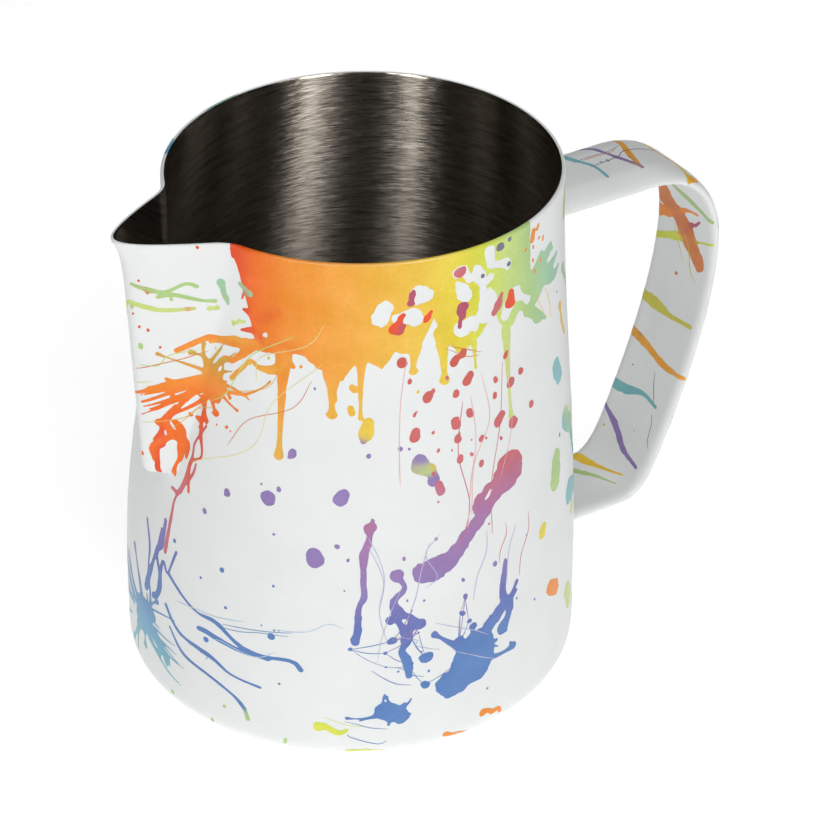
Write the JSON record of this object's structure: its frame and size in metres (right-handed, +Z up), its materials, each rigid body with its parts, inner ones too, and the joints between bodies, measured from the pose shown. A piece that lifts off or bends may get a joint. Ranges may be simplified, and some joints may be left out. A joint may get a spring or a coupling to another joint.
{
  "type": "milk frothing pitcher",
  "caption": "Stainless steel milk frothing pitcher with a pressed pouring spout and a welded strap handle, white coated outside with a colour splatter print, bare brushed steel inside.",
  "frame": {"origin": "on the vessel's axis, at the flat underside of the base", "axes": "+Z up the vessel's axis, +X towards the handle, -X towards the spout; XZ is the plane of symmetry"},
  "size_m": [0.1382, 0.0922, 0.11],
  "materials": {
    "white_coat": "satin white powder coat",
    "bare_steel": "fine brushing round the axis",
    "splatter_print": "thin satin ink in many colours over the white coat"
  },
  "bodies": {
    "root": {"pitcher_body": "white_coat", "handle_strap": "white_coat", "upper_handle_weld": "white_coat", "lower_handle_weld": "white_coat"}
  },
  "joints": []
}
